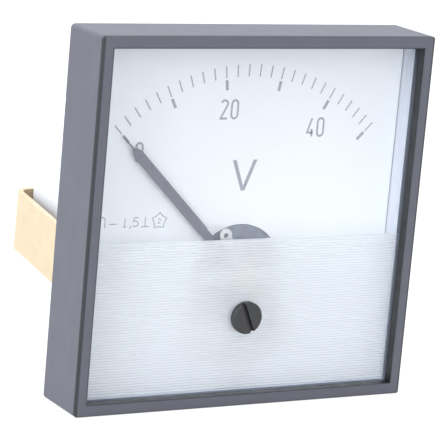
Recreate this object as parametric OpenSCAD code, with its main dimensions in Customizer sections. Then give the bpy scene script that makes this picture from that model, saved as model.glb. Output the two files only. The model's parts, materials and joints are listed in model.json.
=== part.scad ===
// Square analog panel meter, 72 mm front, moving-coil movement, round rear barrel, U-strap fixing.
// Origin: centre of the seat behind the bezel, where the panel's face lies.
// X to the right, Z up, the scale looks towards -Y and the barrel goes back along +Y.

/* [Front] */
// Width of the bezel
bezel_w = 72; // [70:1:96]
// Height of the bezel
bezel_h = 72; // [70:1:96]
// Depth of the bezel in front of the panel
bezel_d = 13.4; // [12.4:0.1:18]
// Width of the bars round the window
bezel_bar = 2.4; // [2.2:0.1:3.2]
// Wall of the bezel round the case
bezel_wall = 1.6; // [1.4:0.1:2]
// Radius of the bezel's long corners
bezel_corner_r = 0.9; // [0.4:0.1:1.4]
// Radius of the bezel's front edges
bezel_edge_r = 0.5; // [0.2:0.1:0.9]
// How far the window lies behind the bezel's face
window_set = 2; // [1.2:0.1:2.4]
// Thickness of the window
window_t = 1.5; // [1.2:0.1:1.8]
// Height of the ribbed field's top edge above the centre
rib_top = -3.6; // [-10:0.1:2]
// Pitch of the moulded ribs
rib_pitch = 0.53; // [0.4:0.01:1]
// Depth of the moulded ribs
rib_depth = 0.1; // [0.1:0.05:0.3]

/* [Case] */
// Outside diameter of the barrel
barrel_d = 61; // [56:0.5:64]
// Length of the barrel behind the panel's face
barrel_l = 23; // [20:0.5:40]
// Wall of the barrel
barrel_wall = 1.8; // [1.4:0.1:2.6]
// Radius of the barrel's rear edge
barrel_edge_r = 1.2; // [0.4:0.1:1.4]
// Wall of the square tray inside the bezel
tray_wall = 0.9; // [0.8:0.1:1.2]
// Thickness of the tray's floor
floor_t = 1.6; // [1.2:0.1:2.4]

/* [Dial] */
// Depth of the dial's face behind the bezel's face
dial_set = 7.3; // [7.2:0.1:8]
// Thickness of the dial plate
dial_t = 0.8; // [0.5:0.1:1.2]
// Distance of the pointer's pivot below the centre
pivot_drop = 11.3; // [10.5:0.1:12]
// Angle of the zero mark, from the right-hand horizontal
zero_angle = 135; // [132:1:138]
// Angle of the whole scale
scale_angle = 90; // [80:1:94]

/* [Pointer] */
// Reach of the pointer's flat bar from the pivot
bar_reach = 34.5; // [26:0.5:36]
// Reach of the pointer's needle from the pivot
needle_reach = 38.6; // [36.5:0.1:40]
// Width of the flat bar
bar_w = 1.7; // [1.2:0.1:2]
// Thickness of the pointer's sheet
pointer_t = 0.15; // [0.1:0.05:0.3]
// Free travel past each end of the scale, in degrees
overtravel = 4; // [2:1:6]

/* [Movement] */
// Outside diameter of the soft-iron ring
ring_d = 19; // [18:0.5:20]
// Bore of the soft-iron ring
ring_bore = 13.2; // [13:0.1:13.6]
// Length of the soft-iron ring
ring_l = 10.8; // [9:0.2:13]
// Diameter of the core magnet
core_d = 10; // [9.4:0.1:10.2]
// Width of the coil former
coil_w = 2.6; // [2:0.1:3]
// Depth of the winding on its former
winding_t = 0.6; // [0.4:0.05:0.7]
// Width of the cast frame's foot below the ring
foot_w = 17.6; // [14:0.2:18.4]
// Thickness of the cast frame's back plate
plate_t = 2; // [1.6:0.1:2.6]
// Distance of the zero adjuster below the pivot
adjuster_drop = 7.5; // [7:0.1:8]
// Diameter of the zero adjuster's head
adjuster_d = 6.3; // [5:0.1:7]
// Height of the zero adjuster's head in front of the window
adjuster_h = 1.3; // [0.8:0.1:1.5]
// Throw of the zero adjuster's pin
adjuster_throw = 1; // [0.8:0.1:1.1]

/* [Terminals and strap] */
// Diameter of the terminal and strap studs
stud_d = 4; // [4:0.5:5]
// Distance between the terminal studs
terminal_pitch = 24; // [20:0.5:30]
// Height of the terminals above the centre
terminal_up = 9; // [7:0.5:14]
// Length of the terminals behind the barrel
terminal_l = 13; // [11:0.5:20]
// Distance of the strap's stud below the centre
strap_drop = 5.7; // [5:0.1:9]
// Width of the strap's brass strip
strap_w = 11.8; // [8:0.2:14]
// Thickness of the strap's brass strip
strap_t = 1; // [0.8:0.1:1.4]
// Gap between the barrel's side and the strap's arm at the back corner
strap_gap = 1.5; // [0.5:0.1:2]
// Outward splay of each arm, in degrees
strap_splay = 2; // [1:0.5:7]
// Lean of the loose strap on its stud, in degrees
strap_lean = 6; // [0:0.5:7]
// Turn of the loose strap round its stud, in degrees
strap_turn = 2; // [0:0.5:4]
// Gap left for the panel between the strap's arms and the bezel
strap_reach = 2.4; // [1:0.1:6]

/* [Hidden] */
$fn = 72;
eps = 0.01;             // overshoot of a cutting shape
fit = 0.02;             // gap of a pressed, screwed or cemented joint
slip = 0.1;             // gap of a part that is pushed in by hand
run = 0.05;             // radial gap of a turning fit

// Front stack, from the face backwards
face_y = -bezel_d;
window_y = face_y + window_set;
window_back = window_y + window_t;
dial_y = face_y + dial_set;
dial_back = dial_y + dial_t;
lip_w = bezel_w - 2 * bezel_bar;
lip_h = bezel_h - 2 * bezel_bar;
pocket_w = bezel_w - 2 * bezel_wall;
pocket_h = bezel_h - 2 * bezel_wall;
tray_w = pocket_w - 2 * slip;
tray_h = pocket_h - 2 * slip;
snap_l = 12;            // length of each snap nose
snap_rise = 0.35;       // height of each snap nose
snap_y = window_back / 2;
snap_t = 1.4;           // depth of each snap nose along the case

// Pivot line and the pieces in front of the dial
pivot_z = -pivot_drop;
pointer_y = dial_y - 1.2;
bridge_y = dial_y - 2.7;
bridge_t = 0.5;
lever_y = dial_y - 3.1;
lever_t = 0.3;
neck_r = 1.5;           // neck that the zero lever turns on
jewel_r = 1;            // radius of both jewel screws
spring_y = dial_y - 1.95;
spring_h = 0.3;
spring_t = 0.12;
spring_r0 = 1.25;
spring_r1 = 3.7;
spring_turns = 4.5;
spring_end = 112;       // angle at which both springs are fixed
lever_end = 120;        // angle of the zero lever's free arm
collet_r = 1.2;
stem_r = 0.4;
tail_weight_r = 1.13;   // balances the pointer's bar about the pivot

// Ring, core and coil
ring_y = dial_y + 0.2;
ring_back = ring_y + ring_l;
ring_r = ring_d / 2;
ring_bore_r = ring_bore / 2;
core_r = core_d / 2;
core_y = ring_y + 0.9;
core_l = ring_l - 1.8;
former_t = 0.2;
former_in = core_r + 0.3;
former_out = former_in + former_t;
former_y0 = core_y - 0.3 - former_t;
former_y1 = core_y + core_l + 0.3 + former_t;
winding_out = former_out + winding_t;
winding_y0 = former_y0 - winding_t;
winding_y1 = former_y1 + winding_t;
winding_w = coil_w - 0.4;

// Cast frame behind the dial
plate_y = ring_back;
plate_back = plate_y + plate_t;
frame_bore_r = ring_bore_r - 0.2;
holder_half = 18;       // half angle of each core holder
foot_bottom = -27;
foot_front = dial_y + 1.1;
foot_wall = 1.2;
ear_gap = 2.65;         // from the ring to a frame screw's hole
ear_r = 3.2;
frame_screw_r = 1.25;
ear_x = ring_r + ear_gap + frame_screw_r;   // frame screws, from the pivot
frame_screw_l = 10;

// Rear bearing
rear_bridge_t = 0.8;
rear_bridge_w = 4.6;
rear_spring_y = winding_y1 + 0.5;
rear_tip_y = plate_back - 0.35;
small_screw_r = 0.8;
bridge_screw_x = (ring_r + ring_bore_r) / 2;
rear_screw_z = frame_bore_r + 1.9;

// Dial plate and its posts
dial_w = tray_w - 2 * tray_wall - 0.4;
dial_h = tray_h - 2 * tray_wall - 0.4;
cutout_r = ring_r + 0.15;
post_x = dial_w / 2 - 5;
post_z = dial_h / 2 - 5;
post_r = 2.5;

// Barrel and its bosses
barrel_r = barrel_d / 2;
barrel_in = barrel_r - barrel_wall;
wall_y = barrel_l - barrel_wall;
boss_t = 1;
boss_y = barrel_l + boss_t;
stud_r = stud_d / 2;
terminal_x = terminal_pitch / 2;
stud_flange_t = 2;
washer_t = 0.8;
washer_r = stud_r + 2.5;
nut_t = 0.8 * stud_d;
nut_af = 1.75 * stud_d;

// Strap: a strip folded to a U, leaning on its stud
strap_bend_r = 2.4;
strap_half = barrel_r + strap_gap + strap_t;
strap_slack = (washer_r + 0.4) * sin(strap_lean) + 0.05;
strap_y = boss_y + strap_slack + strap_t / 2;
strap_arm_l = (strap_y - strap_reach) / cos(strap_splay) - strap_bend_r - strap_w / 2 * sin(strap_lean);
strap_washer_y = strap_y + strap_t / 2 + strap_slack;

// ---- shared shapes ----

// A flat outline, drawn in X and Z, given depth from y0 back to y1
module slab(y0, y1) {
    translate([0, y1, 0]) rotate([90, 0, 0]) linear_extrude(y1 - y0) children();
}

// A half profile of radius and depth, turned about the Y axis
module turned() {
    rotate([-90, 0, 0]) rotate_extrude() children();
}

// A round bar along Y
module rod(r, y0, y1) {
    translate([0, y0, 0]) rotate([-90, 0, 0]) cylinder(r = r, h = y1 - y0);
}

// A six-sided bar along Y, sized across its flats
module hexagon(af, y0, y1) {
    translate([0, y0, 0]) rotate([-90, 0, 0]) cylinder(d = af / cos(30), h = y1 - y0, $fn = 6);
}

// Moves its children to the pivot line
module at_pivot() {
    translate([0, 0, pivot_z]) children();
}

// A flat rectangle with round corners
module round_rect(w, h, r) {
    square([w - 2 * r, h], center = true);
    square([w, h - 2 * r], center = true);
    for (x = [-1, 1], y = [-1, 1]) translate([x * (w / 2 - r), y * (h / 2 - r)]) circle(r);
}

// A strip from the centre out along an angle
module ray(angle, length, width) {
    rotate(angle) translate([0, -width / 2]) square([length, width]);
}

// A flat wedge that opens both ways round an angle
module wedge(angle, half, reach) {
    rotate(angle) polygon([[0, 0], [reach * cos(half), -reach * sin(half)], [reach * 1.2, 0],
                           [reach * cos(half), reach * sin(half)]]);
}

// A slotted round head with its shank, seated at y0, screwed in along +Y
module slot_screw(head_r, head_t, shank_r, shank_l, slot_w) {
    difference() {
        union() {
            rod(head_r, -head_t, 0);
            rod(shank_r, -head_t / 2, shank_l);
        }
        translate([-head_r - eps, -head_t - eps, -slot_w / 2])
            cube([2 * head_r + 2 * eps, head_t / 2, slot_w]);
    }
}

// A round wire through a list of points
module wire(points, r) {
    for (i = [0 : len(points) - 2]) {
        d = points[i + 1] - points[i];
        l = norm(d);
        translate(points[i]) rotate([0, acos(d[2] / l), atan2(d[1], d[0])]) cylinder(r = r, h = l, $fn = 24);
        if (i > 0) translate(points[i]) sphere(r = r, $fn = 24);
    }
}

// The points of one edge of a spiral
function spiral(r0, r1, turns, end, steps) = [
    for (i = [0 : steps])
        let (t = i / steps, a = end - 360 * turns * (1 - t), r = r0 + (r1 - r0) * t)
        [r * cos(a), r * sin(a)]
];

// A flat hairspring that ends at spring_end
module hairspring(y0) {
    steps = 96;
    inner = spiral(spring_r0, spring_r1, spring_turns, spring_end, steps);
    outer = spiral(spring_r0 + spring_t, spring_r1 + spring_t, spring_turns, spring_end, steps);
    slab(y0, y0 + spring_h) polygon(concat(inner, [for (i = [steps : -1 : 0]) outer[i]]));
}

// ---- front ----

// The bezel's outside: a square bar whose long corners and front edges are round
module bezel_outside() {
    intersection() {
        slab(face_y, 0) round_rect(bezel_w, bezel_h, bezel_corner_r);
        translate([0, 0, -bezel_h / 2]) linear_extrude(bezel_h) front_rounded(bezel_w);
        rotate([0, -90, 0]) translate([0, 0, -bezel_w / 2]) linear_extrude(bezel_w) front_rounded(bezel_h);
    }
}

// Width by depth, with the two front corners round
module front_rounded(w) {
    r = bezel_edge_r;
    translate([-w / 2, face_y + r]) square([w, bezel_d - r]);
    translate([-w / 2 + r, face_y]) square([w - 2 * r, bezel_d]);
    for (x = [-1, 1]) translate([x * (w / 2 - r), face_y + r]) circle(r);
}

// Noses on the four sides of the tray, or the grooves that they snap into
module snaps(rise, grow) {
    y0 = snap_y - snap_t / 2 - grow;
    l = snap_l + 2 * grow;
    for (x = [-1, 1], s = [-1, 1]) {
        translate([x * (tray_w / 2 + rise / 2) - (rise + slip) / 2, y0, s * tray_h / 4 - l / 2])
            cube([rise + slip, snap_t + 2 * grow, l]);
        translate([s * tray_w / 4 - l / 2, y0, x * (tray_h / 2 + rise / 2) - (rise + slip) / 2])
            cube([l, snap_t + 2 * grow, rise + slip]);
    }
}

module bezel() {
    color([0.24, 0.25, 0.27]) difference() {
        bezel_outside();
        slab(face_y - eps, 0) square([lip_w, lip_h], center = true);
        slab(window_y, eps) square([pocket_w, pocket_h], center = true);
        snaps(snap_rise + slip, slip);
    }
}

// Clear window: flat in front, fine V ribs behind its lower half, a round collar for the adjuster
module window() {
    low = -tray_h / 2 + 1;
    ribs = floor((rib_top - low) / rib_pitch);
    teeth = [for (i = [0 : ribs]) each [
        [window_back, rib_top - i * rib_pitch],
        [window_back - rib_depth, rib_top - (i + 0.5) * rib_pitch]
    ]];
    collar_r = adjuster_d / 2 + 1;
    color([0.9, 0.95, 1, 0.35]) difference() {
        union() {
            difference() {
                slab(window_y, window_back) round_rect(tray_w, tray_h, bezel_corner_r);
                translate([-lip_w / 2, 0, 0]) rotate([90, 0, 90]) linear_extrude(lip_w)
                    polygon(concat(teeth, [[window_back + eps, rib_top - (ribs + 0.5) * rib_pitch],
                                           [window_back + eps, rib_top]]));
            }
            translate([0, 0, pivot_z - adjuster_drop]) rod(collar_r, window_y + eps, window_back);
        }
        translate([0, 0, pivot_z - adjuster_drop])
            rod(adjuster_d / 4 + run + 0.2, window_y - eps, window_back + eps);
    }
}

// Zero adjuster: slotted head, shank through the window, lip behind it, pin off centre
module zero_screw() {
    shank_r = adjuster_d / 4 + 0.2;
    lip_y = window_back + run;
    pin_end = lever_y + lever_t + 0.4;
    color([0.16, 0.16, 0.17]) translate([0, 0, pivot_z - adjuster_drop]) {
        difference() {
            union() {
                turned() polygon([
                    [0, window_y - adjuster_h], [adjuster_d / 2 - 0.25, window_y - adjuster_h],
                    [adjuster_d / 2, window_y - adjuster_h + 0.25], [adjuster_d / 2, window_y - run],
                    [shank_r, window_y - run], [shank_r, lip_y], [shank_r + 0.3, lip_y],
                    [shank_r, lip_y + 0.3], [0, lip_y + 0.3]
                ]);
                translate([0, 0, adjuster_throw]) rod(0.5, lip_y, pin_end);
            }
            rotate([0, -24, 0]) translate([-0.45, window_y - adjuster_h - eps, -adjuster_d])
                cube([0.9, adjuster_h * 0.62, 2 * adjuster_d]);
        }
    }
}

// ---- case ----

// White case: square tray round the dial, floor on the panel's side, round barrel with a closed back
module case_base() {
    pillar_r = frame_screw_r + 1.6;
    color([0.95, 0.95, 0.93]) difference() {
        union() {
            difference() {
                slab(window_back, 0) round_rect(tray_w, tray_h, bezel_corner_r);
                slab(window_back - eps, -floor_t)
                    square([tray_w - 2 * tray_wall, tray_h - 2 * tray_wall], center = true);
            }
            snaps(snap_rise, 0);
            turned() difference() {
                union() {
                    translate([0, -floor_t]) square([barrel_r, barrel_l + floor_t - barrel_edge_r]);
                    square([barrel_r - barrel_edge_r, barrel_l]);
                    translate([barrel_r - barrel_edge_r, barrel_l - barrel_edge_r]) circle(barrel_edge_r);
                }
            }
            for (x = [-1, 1], z = [-1, 1])
                translate([x * post_x, 0, z * post_z]) rod(post_r, dial_back, -floor_t / 2);
            for (x = [-1, 1])
                translate([x * terminal_x, 0, terminal_up]) rod(washer_r + 1, barrel_l - 1, boss_y);
            translate([0, 0, -strap_drop]) rod(washer_r + 0.4, barrel_l - 1, boss_y);
            translate([-0.6, barrel_l - 1, terminal_up - 6]) cube([1.2, 4.5, 12]);
        }
        difference() {
            turned() translate([0, -floor_t - eps]) square([barrel_in, wall_y + floor_t + eps]);
            for (x = [-1, 1]) translate([x * ear_x, 0, pivot_z]) rod(pillar_r, plate_back, barrel_l);
            for (a = [0, 60, 120, 240, 300])
                rotate([0, a, 0]) translate([barrel_in - 1.2, 0, -0.6]) cube([2, barrel_l, 1.2]);
        }
        for (x = [-1, 1]) {
            translate([x * ear_x, 0, pivot_z])
                rod(frame_screw_r, plate_back - eps, plate_back + frame_screw_l);
            translate([x * terminal_x, 0, terminal_up]) rod(stud_r + slip, wall_y - eps, boss_y + eps);
            translate([x * post_x, 0, -post_z]) rod(small_screw_r + fit, dial_back - eps, -floor_t);
        }
        translate([0, 0, -strap_drop]) rod(stud_r + fit, wall_y - eps, boss_y + eps);
    }
}

// ---- dial ----

// Sheet dial with an arched cut-out for the movement
module dial_plate() {
    color([0.97, 0.97, 0.98]) slab(dial_y, dial_back) difference() {
        round_rect(dial_w, dial_h, 1);
        translate([0, pivot_z]) circle(cutout_r);
        translate([-foot_w / 2 - 0.8, foot_bottom - 0.8]) square([foot_w + 1.6, pivot_z - foot_bottom + 0.8]);
        for (x = [-1, 1]) translate([x * post_x, -post_z]) circle(small_screw_r + slip);
    }
}

module dial_screws() {
    color([0.93, 0.93, 0.92]) for (x = [-1, 1])
        translate([x * post_x, dial_y, -post_z]) slot_screw(1.6, 0.8, small_screw_r, dial_t + 3, 0.5);
}

// ---- moving element ----

// Pointer: flat bar with a shouldered point, thin needle, hub and three balance arms, cut from sheet
module pointer() {
    tip = 2.2;
    color([0.3, 0.31, 0.34]) at_pivot() difference() {
        union() {
            slab(pointer_y, pointer_y + pointer_t) {
                rotate(zero_angle) polygon([
                    [0, -bar_w / 2], [bar_reach - tip, -bar_w / 2], [bar_reach, -0.2], [needle_reach, -0.12],
                    [needle_reach, 0.12], [bar_reach, 0.2], [bar_reach - tip, bar_w / 2], [0, bar_w / 2]
                ]);
                for (a = [90, 180, 270]) ray(zero_angle + a, a == 180 ? 6.35 : 5.6, 0.5);
                circle(1.9);
            }
            rod(1.3, pointer_y - 0.15, winding_y0 - 0.25);
        }
        rod(stem_r + fit, pointer_y - 1, winding_y0);
    }
}

// Balance weights: small wound bushes pushed on the three arms
module balance_weights() {
    color([0.72, 0.58, 0.32]) at_pivot() for (a = [90, 180, 270])
        rotate([0, -zero_angle - a, 0]) translate([a == 180 ? 4 : 4.3, pointer_y + pointer_t / 2, 0])
            rotate([0, 90, 0]) difference() {
                cylinder(r = a == 180 ? tail_weight_r : 0.6, h = a == 180 ? 2.35 : 1.2);
                translate([-0.25 - fit, -pointer_t / 2 - fit, -eps])
                    cube([0.5 + 2 * fit, pointer_t + 2 * fit, 3]);
            }
}

// Two hardened pivots, each on a small plate cemented to the coil
module pivots() {
    color([0.7, 0.7, 0.72]) at_pivot() {
        turned() polygon([
            [0, winding_y0], [1.1, winding_y0], [1.1, winding_y0 - 0.2], [stem_r, winding_y0 - 0.2],
            [stem_r, spring_y - 0.05], [0.22, spring_y - 0.05], [0.03, bridge_y + 0.3], [0, bridge_y + 0.3]
        ]);
        turned() polygon([
            [0, winding_y1], [1.1, winding_y1], [1.1, winding_y1 + 0.2], [stem_r, winding_y1 + 0.2],
            [stem_r, rear_tip_y - 0.3], [0.22, rear_tip_y - 0.3],
            [0.03, rear_tip_y + 0.2], [0, rear_tip_y + 0.2]
        ]);
    }
}

module collet(y0) {
    difference() {
        rod(collet_r, y0, y0 + spring_h);
        rod(stem_r + fit, y0 - 1, y0 + 1);
    }
}

module spring_collets() {
    color([0.8, 0.65, 0.35]) at_pivot() {
        collet(spring_y);
        collet(rear_spring_y);
    }
}

// A rectangular frame round the core, in the plane of the coil
module coil_loop(half, y0, y1, wall, width, r) {
    rotate([0, -(zero_angle - 90), 0]) translate([0, 0, -width / 2]) linear_extrude(width)
        translate([0, (y0 + y1) / 2]) difference() {
            round_rect(2 * half, y1 - y0, r);
            square([2 * (half - wall), y1 - y0 - 2 * wall], center = true);
        }
}

module coil_former() {
    color([0.8, 0.82, 0.84]) at_pivot() coil_loop(former_out, former_y0, former_y1, former_t, coil_w, 0.15);
}

module coil_winding() {
    color([0.7, 0.32, 0.14]) at_pivot()
        coil_loop(winding_out, winding_y0, winding_y1, winding_t, winding_w, 0.5);
}

module hairspring_front() {
    color([0.8, 0.6, 0.3]) at_pivot() hairspring(spring_y);
}

module hairspring_rear() {
    color([0.8, 0.6, 0.3]) at_pivot() hairspring(rear_spring_y);
}

// ---- fixed movement ----

module core_magnet() {
    color([0.4, 0.4, 0.42]) at_pivot() rod(core_r, core_y, core_y + core_l);
}

module yoke_ring() {
    color([0.36, 0.37, 0.4]) at_pivot() difference() {
        rod(ring_r, ring_y, ring_back);
        rod(ring_bore_r, ring_y - eps, ring_back + eps);
        for (x = [-1, 1])
            translate([x * bridge_screw_x, 0, 0]) rod(small_screw_r + fit, ring_y - eps, ring_y + 3);
    }
}

// Two posts on the ring's face that stop the pointer's bar past each end of the scale
module pointer_stops() {
    post = 0.4;
    reach = bridge_screw_x;
    swing = overtravel + asin((bar_w / 2 + post + 0.02) / reach);
    color([0.75, 0.75, 0.72]) at_pivot()
        for (a = [zero_angle + swing, zero_angle - scale_angle - swing])
            rotate([0, -a, 0]) translate([reach, 0, 0]) rod(post, pointer_y - 0.4, ring_y);
}

// Die-cast frame: back plate with two ears, two holders that carry the core in the ring, hollow foot
module movement_frame() {
    holder_r = ring_bore_r - fit;
    color([0.78, 0.79, 0.8]) at_pivot() {
        slab(plate_y, plate_back) difference() {
            union() {
                circle(ring_r + 0.6);
                square([2 * ear_x, 2 * ear_r - 1], center = true);
                for (x = [-1, 1]) translate([x * ear_x, 0]) circle(ear_r);
                translate([-foot_w / 2, foot_bottom - pivot_z]) square([foot_w, -(foot_bottom - pivot_z)]);
            }
            circle(frame_bore_r);
            for (x = [-1, 1]) translate([x * ear_x, 0]) circle(frame_screw_r + slip);
            for (z = [-1, 1]) translate([0, z * rear_screw_z]) circle(small_screw_r + fit);
        }
        slab(ring_y + 0.5, plate_back) for (a = [90, 270]) intersection() {
            difference() {
                circle(holder_r);
                circle(core_r + fit);
            }
            wedge(a, holder_half, ring_r);
        }
        foot_top = -ring_r - 0.3;
        foot_low = foot_bottom - pivot_z;
        difference() {
            slab(foot_front, plate_y + eps) difference() {
                translate([-foot_w / 2, foot_low]) square([foot_w, -foot_low - core_r]);
                circle(ring_r + 0.3);
            }
            slab(foot_front + foot_wall, plate_back + 1) {
                translate([-foot_w / 2 + foot_wall, foot_low + foot_wall])
                    square([foot_w / 2 - 1.5 * foot_wall, foot_top - foot_low - 2 * foot_wall]);
                translate([foot_wall / 2, foot_low + foot_wall])
                    square([foot_w / 2 - 1.5 * foot_wall, foot_top - foot_low - 2 * foot_wall]);
            }
        }
    }
}

module frame_screws() {
    color([0.72, 0.73, 0.74]) for (x = [-1, 1])
        translate([x * ear_x, plate_y, pivot_z])
            slot_screw(2.5, 1.6, frame_screw_r - fit, frame_screw_l + plate_t - 0.5, 0.6);
}

// Front bridge: stamped strip, stepped up over the coil, its feet on the ring's face
module front_bridge() {
    half = ring_r - 0.2;
    step = ring_bore_r + 0.1;
    color([0.86, 0.86, 0.84]) at_pivot() difference() {
        union() {
            slab(bridge_y, bridge_y + bridge_t) {
                square([2 * step + 2 * bridge_t, 3.2], center = true);
                circle(2.6);
            }
            for (x = [-1, 1]) {
                translate([x * (step + bridge_t / 2) - bridge_t / 2, bridge_y, -1.6])
                    cube([bridge_t, ring_y - bridge_y, 3.2]);
                translate([x * (step + half) / 2 - (half - step) / 2, ring_y - bridge_t, -1.6])
                    cube([half - step, bridge_t, 3.2]);
            }
        }
        rod(jewel_r + fit, bridge_y - eps, bridge_y + bridge_t + eps);
        for (x = [-1, 1])
            translate([x * bridge_screw_x, 0, 0]) rod(small_screw_r + slip / 2, ring_y - 1, ring_y + eps);
    }
}

module bridge_screws() {
    color([0.76, 0.76, 0.75]) at_pivot() for (x = [-1, 1])
        translate([x * bridge_screw_x, ring_y - bridge_t, 0])
            slot_screw(bridge_screw_x - ring_bore_r - 0.1 - bridge_t - fit,
                       0.5, small_screw_r, bridge_t + 2.6, 0.3);
}

// Jewel screw: slotted head, neck for the zero lever, threaded shank, cupped end for the pivot
module front_jewel_screw() {
    head_y = lever_y - run - 0.3;
    end_y = bridge_y + bridge_t + 0.1;
    color([0.82, 0.7, 0.42]) at_pivot() difference() {
        turned() polygon([
            [0, head_y], [2.1, head_y], [2.1, lever_y - run], [neck_r, lever_y - run],
            [neck_r, bridge_y], [jewel_r, bridge_y], [jewel_r, end_y], [0.62, end_y], [0, end_y - 0.55]
        ]);
        translate([-2.5, head_y - eps, -0.25]) cube([5, 0.2, 0.5]);
    }
}

// Zero lever: ring on the jewel screw's neck, fork round the adjuster's pin, arm that holds the spring
module zero_lever() {
    pin_z = -adjuster_drop + adjuster_throw;
    fork_w = 1 + 2 * 0.06;
    eye = 9.6;
    color([0.9, 0.88, 0.82]) at_pivot() {
        slab(lever_y, lever_y + lever_t) difference() {
            union() {
                circle(2.7);
                translate([-1.2, pin_z - 1.1]) square([2.4, -pin_z]);
                translate([-1.5, pin_z - 1.1]) square([3, 2.4]);
                rotate(lever_end) polygon([[0, -1.5], [eye, -0.9], [eye, 0.9], [0, 1.5]]);
                rotate(lever_end) translate([eye, 0]) circle(1.3);
            }
            circle(neck_r + run);
            translate([-fork_w / 2, pin_z - 2]) square([fork_w, 3]);
            rotate(lever_end) translate([eye, 0]) circle(0.5);
        }
        rotate([0, -spring_end, 0]) translate([spring_r1 + spring_t + fit, lever_y + lever_t / 2, -0.5])
            cube([0.4, spring_y + spring_h - lever_y - lever_t / 2 - 0.02, 1]);
    }
}

module rear_bridge() {
    z = rear_screw_z + 1.9;
    color([0.82, 0.68, 0.4]) at_pivot() slab(plate_back, plate_back + rear_bridge_t) difference() {
        union() {
            round_rect(rear_bridge_w, 2 * z, 1);
            circle(3.4);
            rotate(spring_end) translate([spring_r1, 0]) circle(1.6);
        }
        circle(jewel_r + fit);
        for (s = [-1, 1]) translate([0, s * rear_screw_z]) circle(small_screw_r + slip);
        rotate(spring_end) translate([spring_r1 + spring_t + fit + 0.4, 0]) circle(0.4 + fit);
    }
}

module rear_bridge_screws() {
    color([0.76, 0.76, 0.75]) at_pivot() for (s = [-1, 1])
        translate([0, plate_back + rear_bridge_t, s * rear_screw_z]) rotate([0, 0, 180])
            slot_screw(1.5, 0.8, small_screw_r, rear_bridge_t + plate_t - 0.4, 0.4);
}

module rear_jewel_screw() {
    end_y = plate_back + rear_bridge_t + 2;
    color([0.82, 0.7, 0.42]) at_pivot() difference() {
        turned() polygon([
            [0, rear_tip_y + 0.35], [0.62, rear_tip_y - 0.1], [jewel_r, rear_tip_y - 0.1],
            [jewel_r, end_y], [0, end_y]
        ]);
        translate([-1.5, end_y - 0.6, -0.2]) cube([3, 1, 0.4]);
    }
}

module jewel_lock_nut() {
    y0 = plate_back + rear_bridge_t;
    color([0.82, 0.68, 0.4]) at_pivot() difference() {
        hexagon(4, y0, y0 + 1);
        rod(jewel_r + fit, y0 - eps, y0 + 1 + eps);
    }
}

// Rear spring's fixed end: an insulated pin through the rear bridge
module rear_abutment() {
    color([0.8, 0.65, 0.35]) at_pivot() rotate([0, -spring_end, 0])
        translate([spring_r1 + spring_t + fit + 0.4, 0, 0])
            rod(0.4, rear_spring_y - 0.05, plate_back + rear_bridge_t + 1.5);
}

// ---- wiring ----
tag_t = 0.6;
tag_y = wall_y - stud_flange_t - tag_t;
tag_eye_z = terminal_up - 9;
lead_r = 0.35;
resistor_y = (plate_back + wall_y) / 2;

// Series resistor with its two leads
module series_resistor() {
    x = terminal_x + 2.5;
    eye = [terminal_x, tag_y - lead_r, tag_eye_z];
    color([0.72, 0.6, 0.42]) {
        translate([x, resistor_y, 3]) cylinder(r = 1.5, h = 10);
        translate([x, resistor_y, 5.2]) cylinder(r = 1.7, h = 5.6);
        wire([[x, resistor_y, 3.2], [x, resistor_y, tag_eye_z], [x, tag_y - lead_r, tag_eye_z], eye], lead_r);
        wire([[x, resistor_y, 12.8], [x, resistor_y, 15], [x - 4, resistor_y, 15]], lead_r);
    }
}

// Insulated leads to the frame and to the rear spring's pin
module hookup_wires() {
    a = spring_end;
    r = spring_r1 + spring_t + fit + 0.4;
    pin_y = plate_back + rear_bridge_t + 1.5 + 0.6;
    pin = [r * cos(a), pin_y, pivot_z + r * sin(a)];
    color([0.75, 0.12, 0.1]) {
        wire([[terminal_x - 1.5 - fit, resistor_y, 15], [4, resistor_y, 15], [4, resistor_y, 2],
              [8, plate_back + 0.6, pivot_z + 5.5]], 0.6);
        wire([[-terminal_x, tag_y - 0.6, tag_eye_z], [-terminal_x, pin_y + 3, tag_eye_z],
              [pin[0], pin_y + 3, pin[2]], pin], 0.6);
    }
}

module solder_tags() {
    color([0.85, 0.83, 0.75]) for (x = [-1, 1])
        slab(tag_y, tag_y + tag_t) translate([x * terminal_x, terminal_up])
        difference() {
            union() {
                circle(stud_r + 1.8);
                translate([-1.2, tag_eye_z - terminal_up - 0.8]) square([2.4, terminal_up - tag_eye_z]);
                translate([0, tag_eye_z - terminal_up]) circle(1.5);
            }
            circle(stud_r + slip);
        }
}

// ---- rear fixings ----

// Stud with a round flange inside the barrel's wall
module stud(back_y, flange_t) {
    difference() {
        union() {
            rod(stud_r, wall_y - flange_t - 1.6, back_y - 0.5);
            turned() polygon([
                [0, back_y - 0.5], [stud_r, back_y - 0.5],
                [stud_r - 0.5, back_y], [0, back_y]
            ]);
            rod(stud_r + 2, wall_y - flange_t, wall_y);
        }
        translate([-stud_r, back_y - 1, -0.5]) cube([2 * stud_r, 2, 1]);
    }
}

module terminal_studs() {
    color([0.83, 0.69, 0.38]) for (x = [-1, 1])
        translate([x * terminal_x, 0, terminal_up]) stud(barrel_l + terminal_l, stud_flange_t);
}

module nut(y0) {
    difference() {
        intersection() {
            hexagon(nut_af, y0, y0 + nut_t);
            turned() polygon([
                [0, y0], [nut_af / 2, y0], [nut_af / 2 + 1, y0 + 0.6], [nut_af / 2 + 1, y0 + nut_t - 0.6],
                [nut_af / 2, y0 + nut_t], [0, y0 + nut_t]
            ]);
        }
        rod(stud_r + fit, y0 - eps, y0 + nut_t + eps);
    }
}

module washer(y0) {
    difference() {
        rod(washer_r, y0, y0 + washer_t);
        rod(stud_r + slip, y0 - eps, y0 + washer_t + eps);
    }
}

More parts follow.
